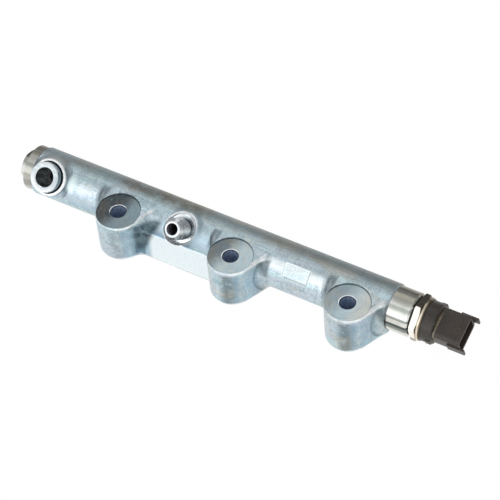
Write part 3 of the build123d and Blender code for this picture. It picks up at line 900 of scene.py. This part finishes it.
def bolt_tools():
    """Drill the bolt holes, break their edges and mill the spot faces."""
    steps = [(-5, HOLE_R), (BOSS_H - 0.6, HOLE_R), (BOSS_H, HOLE_R + 0.6), (BOSS_H, SPOT_R),
             (BOSS_H + 20, SPOT_R)]
    return [drill(f"bolt_{i}", steps, (x, 0, 0), (0, 0, 1)) for i, x in enumerate(BOSSES)]


def port_tools():
    """Sink the side port with its lead-in, and the pockets of the five unions."""
    clear = 40
    port_steps = [(-5.5, NOSE_BORE), (NOSE_SEAT, NOSE_BORE), (NOSE_SEAT, NOSE_R), (17.3, NOSE_R),
                  (STUB_REACH, 10.7), (clear, 10.7)]
    inlet_steps = [(FLOOR_R, SEAT_R), (FLOOR_R + 2.3, SEAT_R), (FLOOR_R + 3, SEAT_R + 0.5),
                   (clear, SEAT_R + 0.5)]
    outlet_steps = [(FLOOR_R, OUTLET_SEAT_R), (clear, OUTLET_SEAT_R)]
    return [drill("port", port_steps, rail_point(PORT_X), port(TILT)),
            drill("inlet", inlet_steps, rail_point(INLET_X), port(TILT)),
            *(drill(f"outlet_{i}", outlet_steps, rail_point(x), port(OUTLET_TURN))
              for i, x in enumerate(OUTLET_XS))]


def flat_tool():
    """Grinds the marking flat: a rounded rectangle carried out along the ports' direction."""
    outline = rounded([(sx * FLAT_LENGTH / 2, sy * FLAT_WIDTH / 2, 1.2)
                       for sx, sy in ((-1, -1), (1, -1), (1, 1), (-1, 1))], closed=True)
    ends = np.concatenate([np.insert(outline, 2, out, axis=1) for out in (FLAT_OUT, FLAT_OUT + 12)])
    ends = ends @ np.array([[1, 0, 0], [0, cos(TILT), sin(TILT)], port(TILT)])
    faces = capped_faces(2, len(outline))
    return finish_mesh(new_piece("cut_flat", ends + rail_point(FLAT_X), faces))


def forged_body():
    """The forging, with its ends, spot faces, bolt holes, ports, seats and bore cut."""
    points, quads = surface_net(forging_distance, (-155, -16.2, -1.5), (106, 35.5, 40.6), 0.85)
    forging = new_piece("forged_body", points, quads)
    return cut_away(forging, [*end_tools(), *bolt_tools(), *port_tools(), flat_tool()])


def paint_cuts(piece):
    """Gives the milled seats and drilled walls of the body their own materials."""
    materials = (ZINC, SPOT, HOLE, BORE, FLAT)
    piece.data.materials.clear()
    for material in materials:
        piece.data.materials.append(material)
    middle = read_rows(piece.data.polygons, "center") / MM
    normal = read_rows(piece.data.polygons, "normal")
    x, z = middle[:, 0], middle[:, 2]
    from_bolt = np.min([np.hypot(x - boss, middle[:, 1]) for boss in BOSSES], 0)
    out, up = port_frame(middle)
    on_seat = (np.abs(z - BOSS_H) < 0.01) & (normal[:, 2] > 0.99) & (from_bolt < SPOT_R + 1)
    in_hole = (from_bolt < HOLE_R + 0.65) & (z < BOSS_H - 0.05)
    in_port = (np.hypot(x - PORT_X, up) < NOSE_BORE + 0.1) & (out > -7)
    on_flat = (np.abs(out - FLAT_OUT) < 0.02) & (np.abs(x - FLAT_X) < FLAT_LENGTH / 2 + 0.15)
    on_flat = on_flat & (np.abs(up) < FLAT_WIDTH / 2 + 0.2) & (normal @ np.array(port(TILT)) > 0.98)
    index = np.zeros(len(middle), np.int32)
    for faces, material in ((on_seat, SPOT), (in_hole, HOLE), (in_port, BORE), (on_flat, FLAT)):
        index[faces] = materials.index(material)
    piece.data.polygons.foreach_set("material_index", index)


def light_and_wear_of_form(piece, field, reach=0.9):
    """Point attributes for painted light and wear: crest, how sharply the field's surface bends outwards
    there, for painted highlights on edges; pocket, the share of the space in front that the body itself
    fills, for painted shade in hollows; lee, how far it faces the sensor, for painted shade on those
    walls."""
    co = points_of(piece)
    normal = slope_of(field, co)
    side = np.cross(normal, np.where(np.abs(normal[:, :1]) > 0.7, (0, 1, 0), (1, 0, 0)))
    side /= np.linalg.norm(side, axis=1, keepdims=True)
    up = np.cross(normal, side)
    level = field(co)
    crest = sum(field(co + sign * reach * way) - level for way in (side, up) for sign in (-1, 1))
    pocket = sum(np.clip(d - field(co + normal * d), 0, d) / d for d in (3.0, 6.0, 10.0)) / 3
    write_attribute(piece, "crest", np.clip(crest, -1, 1))
    write_attribute(piece, "pocket", pocket)
    level_wall = np.clip(1 - 1.5 * np.abs(normal[:, 2]), 0, 1)
    write_attribute(piece, "lee", np.clip(normal[:, 0], 0, 1) * level_wall)


def smooth_as_field(piece, field):
    """Corner normals: the field's own slope where a face lies on its surface."""
    mesh = piece.data
    mesh.polygons.foreach_set("use_smooth", np.ones(len(mesh.polygons), bool))
    mesh.set_sharp_from_angle(angle=SHARP)
    kept = read_rows(mesh.corner_normals, "vector")
    co = points_of(piece)
    normal = read_rows(mesh.polygons, "normal")
    vertex = read_rows(mesh.loops, "vertex_index", 1, np.int32)
    face = np.repeat(np.arange(len(normal)), read_rows(mesh.polygons, "loop_total", 1, np.int32))
    slope = slope_of(field, co)[vertex]
    on_surface = (np.abs(field(co)) < 0.03)[vertex] & ((slope * normal[face]).sum(1) > 0.8)
    whole_face = np.ones(len(normal), bool)
    np.logical_and.at(whole_face, face, on_surface)
    use = whole_face[face]
    kept[use] = slope[use]
    mesh.normals_split_custom_set(kept.tolist())


body = forged_body()
paint_cuts(body)
light_and_wear_of_form(body, forging_distance)
smooth_as_field(body, forging_distance)
part(body, "zinc_plated_steel", "rail_body")

left_profile = [(0.5, BORE_R), (0.5, LEFT_R), (LEFT_END - LEFT, LEFT_R), (LEFT_END - LEFT, BORE_R)]
part(turned("left_journal", left_profile, rail_point(LEFT), (1, 0, 0), JOURNAL, 160), "zinc_plated_steel")
right_profile = [(RIGHT - 0.5, 9), (RIGHT - 0.5, RIGHT_R), (RIGHT_END - 0.9, RIGHT_R),
                 (RIGHT_END, RIGHT_R - 0.9), (RIGHT_END, 9)]
part(turned("right_journal", right_profile, SENSOR_AT, (1, 0, 0), JOURNAL, 160), "zinc_plated_steel")


# --- unions ------------------------------------------------------------------------
def thread(major, pitch, depth, low, high):
    """Greatest radius of a screw thread: a triangle wave that climbs one pitch a turn and
    fades out over a turn at each end."""
    def limit(a, turn):
        """Radius at distance a and angle turn."""
        phase = (a / pitch - turn / (2 * pi)) % 1
        wave = np.clip(np.abs(phase * 2 - 1) * 1.25 - 0.1, 0, 1)
        fade = np.clip((a - low) / pitch, 0, 1) * np.clip((high - a) / pitch, 0, 1)
        return np.where((a > low) & (a < high), major - depth * (1 - wave) * fade, 1e3)
    return limit


def from_axis(points, along):
    """How far points are along an axis through the origin, and how far from it."""
    a = points @ np.array(along)
    return a, np.linalg.norm(points - a[:, None] * along, axis=1)


def painted_thread_shade(points, along, thread_r, low, reach):
    """How much painted shade a union's skin gets: its thread from low to the tip, more in the roots and
    on the underside, and the upper half of the relief under the thread."""
    a, r = from_axis(points, along)
    height = points @ np.cross(along, (1.0, 0, 0)) / thread_r
    crest = thread_r - np.clip(a - reach + 2.2, 0, 2) * 0.95
    root = np.clip((crest - r) / 0.45, 0, 1) * (a > low - 1.5) * (a < reach - 0.5)
    band = np.clip((a - low + 1.5) / 0.4, 0, 1) * np.clip((reach - 0.3 - a) / 0.3, 0, 1) * (r > 4.4)
    # painted shade: most on the underside of the thread, some high on its upper side
    shade = 0.10 + 0.90 * np.clip(0.15 - height * 2.0, 0, 1) + 0.35 * np.clip(height * 2.4 - 0.3, 0, 1)
    relief = (a < low - 1.5) * (r < thread_r) * (r > 4.4) * np.clip(height * 1.5, 0, 0.8)
    return np.clip(shade * band + (0.2 + 0.5 * shade) * root + relief, 0, 0.9)


def union(name, x, angle, thread_r, collar_r, reach):
    """Threaded pipe union: shank, rounded collar, relief, thread, tapered lead and conical
    mouth, turned about the port's axis."""
    buried, shoulder, core_r, mouth_r = FLOOR_R - 5, FLOOR_R + 1.6, 1.5, 3.85
    low, high, taper = shoulder + 2.0, reach - 0.6, reach - 2.2
    start = [(buried, core_r), (buried, thread_r), (FLOOR_R, thread_r), (FLOOR_R, collar_r),
             (shoulder - 0.7, collar_r, 0.3), (shoulder, collar_r - 0.7, 0.3),
             (shoulder, thread_r - 1.1, 0.3), (low - 0.9, thread_r - 1.1, 0.3), (low, thread_r)]
    end = [(reach - 0.5, thread_r - 1.6), (reach - 0.2, thread_r - 1.9, 0.1),
           (reach, thread_r - 2.3, 0.15), (reach, mouth_r, 0.15), (reach - 4.6, core_r), (buried, core_r)]
    turns = np.arange(low, taper, 0.15)[1:]
    lead = np.arange(taper, reach - 0.5, 0.15)
    profile = np.concatenate([rounded(start), np.stack([turns, 0 * turns + thread_r], 1),
                              np.stack([lead, thread_r - (lead - taper) * 0.95], 1), rounded(end)])
    piece = turned(name, profile, rail_point(x), port(angle), PORT,
                   limit=thread(thread_r, 1.5, 0.75, low, high), closed=False)
    piece.data.materials.append(MOUTH)
    middle = read_rows(piece.data.polygons, "center") / MM - rail_point(x)
    in_mouth = from_axis(middle, port(angle))[1] < mouth_r - 0.05
    piece.data.polygons.foreach_set("material_index", in_mouth.astype(np.int32))
    write_attribute(piece, "groove", painted_thread_shade(points_of(piece) - rail_point(x), port(angle),
                                                  thread_r, low, reach))
    return piece


def side_port_nose():
    """Open nose in the stub: a ring with broken edges, its side wall darkened towards the left with
    painted shade.
    """
    r = NOSE_R - 0.02
    profile = rounded([(NOSE_SEAT, NOSE_BORE), (NOSE_SEAT, r), (NOSE_REACH - 1.3, r),
                       (NOSE_REACH - 1.0, r), (NOSE_REACH, r, 0.45),
                       (NOSE_REACH, NOSE_BORE + 0.4, 0.15), (NOSE_REACH - 0.4, NOSE_BORE)])
    piece = turned("side_port_nose", profile, rail_point(PORT_X), port(TILT), PORT, 128)
    points = points_of(piece) - rail_point(PORT_X)
    out, away = from_axis(points, port(TILT))
    # painted shade on the side wall, and a little on the end face
    wall = (out < NOSE_REACH - 0.6) * (away > NOSE_R - 0.1) * np.clip(0.94 + points[:, 0] / 80, 0.1, 1)
    write_attribute(piece, "groove", wall + 0.30 * (out > NOSE_REACH - 0.2))
    return piece


part(union("inlet_union_turned", INLET_X, TILT, INLET_R, 9.7, INLET_REACH), "turned_steel", "inlet_union")
for i, x in enumerate(OUTLET_XS, 1):
    part(union(f"outlet_union_turned_{i}", x, OUTLET_TURN, OUTLET_R, 8.2, OUTLET_REACH),
         "turned_steel", f"outlet_union_{i}")
part(side_port_nose(), "turned_steel", "side_port_union")


# --- hexagons --------------------------------------------------------------------------
def hexagon(flats, turn_degrees, low, high, blunt):
    """Greatest radius of a hexagon whose corners are turned down at 30 degrees at both
    ends, less so by the two amounts of blunt."""
    def limit(a, turn):
        """Radius at distance a and angle turn, which runs from -Y towards +Z."""
        side = (turn - radians(turn_degrees) + pi / 6) % (pi / 3) - pi / 6
        prism = np.minimum(flats / 2 / np.cos(side), flats / sqrt(3))
        cone = flats / 2 + np.minimum(blunt[0] + (a - low) * sqrt(3), blunt[1] + (high - a) * sqrt(3))
        return np.where((a >= low - 1e-6) & (a <= high + 1e-6), np.minimum(prism, cone), 1e3)
    return limit


def hex_head(name, flats, turn_degrees, low, high, blunt, origin, material):
    """Hexagon from low to high along the rail, with close rings where its corners fall."""
    rings = np.concatenate([np.linspace(low, low + 1.1, 12), np.linspace(high - 1.1, high, 12)])
    profile = [(low, 0), *((a, flats) for a in rings), (high, 0)]
    return turned(name, profile, origin, (1, 0, 0), material, 240,
                  limit=hexagon(flats, turn_degrees, low, high, blunt), closed=False)


plug_high = LEFT_END - PLUG_SEAL
part(hex_head("plug_head", PLUG_FLATS, 48, plug_high - PLUG_HEIGHT, plug_high, (0.3, 1.2),
              rail_point(0), PLUG), "turned_steel", "end_plug")
part(hex_head("sensor_hexagon", HEX_FLATS, 46, HEX_X, RING_X, (1.4, 0.3),
              SENSOR_AT, NICKEL), "nickel_plated_steel", "sensor_body")
ring_profile = rounded([(RING_X, 10), (RING_X, 13.4), (RING_X + 0.2, 13.9, 0.2),
                        (RING_X + 1.0, 13.9, 0.3), (COLLAR_X, 13.2, 0.4), (COLLAR_X, 10)])
part(turned("crimp_ring", ring_profile, SENSOR_AT, (1, 0, 0), RING, 128),
     "yellow_passivated_ring", "sensor_crimp_ring")

# --- connector ----------------------------------------------------------------------------
FACE = np.array(port(radians(71)))  # where the shroud's upper wide face looks
WIDE = np.cross(FACE, (1, 0, 0))
SHROUD_AT = np.array(SENSOR_AT) + 0.6 * FACE
SHROUD_WIDTH, SHROUD_DEPTH, SHROUD_CORNER, SHROUD_WALL = 20.4, 14.4, 3.0, 1.6


def in_shroud(points):
    """Points (along the rail, across the wide face, out of it) in the connector's frame."""
    points = np.asarray(points, float)
    return SHROUD_AT + points[..., :1] * (1, 0, 0) + points[..., 1:2] * WIDE + points[..., 2:] * FACE


def sleeve(name, width, depth, corner, profile):
    """Profile of (place along the rail, inset) carried round a rounded rectangle: an inset
    line keeps its distance, so its corners are as much tighter."""
    quarter = np.linspace(0, pi / 2, 10)
    rings = []
    for a, inset in profile:
        r = max(corner - inset, 0.05)
        w, d = width / 2 - inset - r, depth / 2 - inset - r
        corners = np.repeat([(w, d), (-w, d), (-w, -d), (w, -d)], len(quarter), axis=0)
        turn = np.concatenate([quarter + k * pi / 2 for k in range(4)])
        ring = corners + r * np.stack([np.cos(turn), np.sin(turn)], 1)
        rings.append(np.insert(ring, 0, a, axis=1))
    faces = capped_faces(len(rings), len(rings[0]))
    return finish_mesh(new_piece(name, in_shroud(np.concatenate(rings)), faces, PLASTIC))


def shroud_block(name, low, high, bevel):
    """Box between two corners of the connector's frame, with its edges rounded."""
    corners = [(a, b, c) for a in (low[0], high[0]) for b in (low[1], high[1]) for c in (low[2], high[2])]
    faces = [(0, 1, 3, 2), (4, 6, 7, 5), (0, 4, 5, 1), (2, 3, 7, 6), (0, 2, 6, 4), (1, 5, 7, 3)]
    piece = finish_mesh(new_piece(name, in_shroud(corners), faces, PLASTIC))
    edges = piece.modifiers.new("edges", "BEVEL")
    edges.width, edges.segments, edges.limit_method = bevel * MM, 3, "NONE"
    return part(piece, "black_plastic", "sensor_connector")


collar_profile = rounded([(COLLAR_X, 0), (COLLAR_X, 12.9, 0.3), (SHROUD_X - 0.6, 12.9, 1.6),
                          (SHROUD_X, 9.5, 0.5), (SHROUD_X, 0)])
part(turned("connector_collar", collar_profile, SENSOR_AT, (1, 0, 0), PLASTIC, 128, closed=False),
     "black_plastic", "sensor_connector")
shroud_profile = [(SHROUD_X - 1, 0), (MOUTH_X - 3.2, 0), (MOUTH_X - 3.0, -0.25), (MOUTH_X - 0.35, -0.25),
                  (MOUTH_X - 0.1, -0.15), (MOUTH_X, 0.1), (MOUTH_X, SHROUD_WALL - 0.3),
                  (MOUTH_X - 0.3, SHROUD_WALL), (SHROUD_X + 4, SHROUD_WALL)]
part(sleeve("connector_shroud", SHROUD_WIDTH, SHROUD_DEPTH, SHROUD_CORNER, shroud_profile),
     "black_plastic", "sensor_connector")
for side, sign in (("left", -1), ("right", 1)):
    low, high = sorted((sign * 9.9, sign * 11.5))
    shroud_block(f"guide_rail_{side}", (MOUTH_X - 7.8, low, -3.2), (MOUTH_X + 3.6, high, 3.4), 0.35)
    low, high = sorted((sign * 10.5, sign * 13.2))
    shroud_block(f"collar_lug_{side}", (SHROUD_X - 4.4, low, -3.1), (SHROUD_X - 0.6, high, 1.9), 0.4)
shroud_block("latch_nub", (MOUTH_X - 6, -1.1, 6.5), (MOUTH_X - 1.8, 1.1, 7.9), 0.5)

# --- pieces that keep their CAD mesh ------------------------------------------------------
cad_finishes = {"inlet_throttle": STEEL, "sensor_diaphragm": STEEL, "end_plug_seal": STEEL,
                "sensor_seal": RUBBER, "sensor_circuit_board": BOARD,
                **{f"sensor_terminal_{i}": TIN for i in (1, 2, 3)},
                **{f"outlet_throttle_{i}": STEEL for i in (1, 2, 3, 4)}}
for name, material in cad_finishes.items():
    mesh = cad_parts[name].data
    mesh.materials.clear()
    mesh.materials.append(material)


# --- studio -------------------------------------------------------------------------------
def studio_floor(nodes, at):
    """Pale floor that keeps a soft shadow and looks white from the camera and in metal, but with a
    painted shadow, seen only in metal, close in front of and behind the rail, under its middle."""
    rays = nodes.add("LightPath").socket.node.outputs
    camera_ray, glossy_ray, clear_ray = (Value(nodes, rays[f"Is {kind} Ray"])
                                         for kind in ("Camera", "Glossy", "Transmission"))
    x, y = nodes.axes(at)[:2]
    beyond = abs(x + 30).band(180, 230)
    # painted shadow that only metal reflects
    shaded = 1 - y.band(-14, 0) * y.band(140, 60) * beyond * 0.62
    amount = camera_ray * 0.93 + clear_ray * 0.93 + glossy_ray * shaded * 0.98
    pale = nodes.add("BsdfDiffuse", {"Color": tone(242, 243, 243)})
    white = nodes.add("Emission", {"Color": WHITE, "Strength": 1.03})
    return nodes.add("MixShader", {0: amount.math("MINIMUM", 0.98), 1: pale, 2: white})


def stage_floor():
    """Wide floor just under the feet."""
    paint = bpy.data.materials.new("studio_floor")
    paint.use_nodes = True
    nodes = Nodes(paint.node_tree)
    nodes.add("OutputMaterial", {"Surface": studio_floor(nodes, nodes.place_mm())})
    half, level = 4000, cad_box[0].z / MM - 0.02
    corners = [(-half, -half, level), (half, -half, level), (half, half, level), (-half, half, level)]
    new_piece("studio_floor", corners, [(0, 1, 2, 3)], paint)


def studio_world():
    """Even cool light, stronger from the front and weaker from far behind."""
    world = bpy.data.worlds.new("studio")
    bpy.context.scene.world = world
    world.use_nodes = True
    nodes = Nodes(world.node_tree)
    behind = nodes.axes(nodes.add("TexCoord", out=0))[1]
    level = 0.62 + (behind * -1).band(0.0, 0.62, 0.0, 0.66) - behind.band(0.5, 0.9, 0.0, 0.30)
    sky = nodes.add("Background", {"Color": (0.97, 0.99, 1.0, 1.0), "Strength": level})
    nodes.add("OutputWorld", {"Surface": sky})


def looking(place, to, roll=0.0):
    """Matrix of a lamp or camera at a place that looks along to, turned by roll."""
    back = -np.array(to, float) / np.linalg.norm(to)
    side = np.cross((0, 0, 1), back)
    side /= np.linalg.norm(side)
    up = np.cross(back, side)
    matrix = np.eye(4)
    matrix[:3, 0] = side * cos(roll) + up * sin(roll)
    matrix[:3, 1] = up * cos(roll) - side * sin(roll)
    matrix[:3, 2] = back
    matrix[:3, 3] = place
    return Matrix(matrix.tolist())


def softbox(name, place, size, power):
    """Rectangular lamp in metres that looks at the origin."""
    light = bpy.data.lights.new(name, "AREA")
    light.shape, light.size, light.size_y, light.energy = "RECTANGLE", *size, power
    lamp = bpy.data.objects.new(name, light)
    lamp.matrix_world = looking(place, -np.array(place))
    bpy.context.scene.collection.objects.link(lamp)


def studio_camera(target, azimuth, elevation, roll, distance, focal):
    """Camera at a distance from a target, azimuth from -Y towards +X."""
    away = np.array((sin(azimuth) * cos(elevation), -cos(azimuth) * cos(elevation), sin(elevation)))
    lens = bpy.data.cameras.new("camera")
    lens.lens, lens.sensor_width, lens.clip_start, lens.clip_end = focal, 36.0, 0.05, 20.0
    camera = bpy.data.objects.new("camera", lens)
    camera.matrix_world = looking(target + distance * away, -away, roll)
    bpy.context.scene.collection.objects.link(camera)
    bpy.context.scene.camera = camera


stage_floor()
studio_world()
softbox("key", (-0.5, -1.3, 0.45), (1.6, 0.5), 2.0)
softbox("top", (-0.5, 0.7, 1.3), (0.9, 0.6), 1.6)
studio_camera(target=np.array((2.27, 18.73, 18.66)) * MM, azimuth=radians(33.8), elevation=radians(49.98),
              roll=radians(-5.6), distance=1.3358, focal=155.0)
bpy.context.scene.view_settings.view_transform = "Standard"
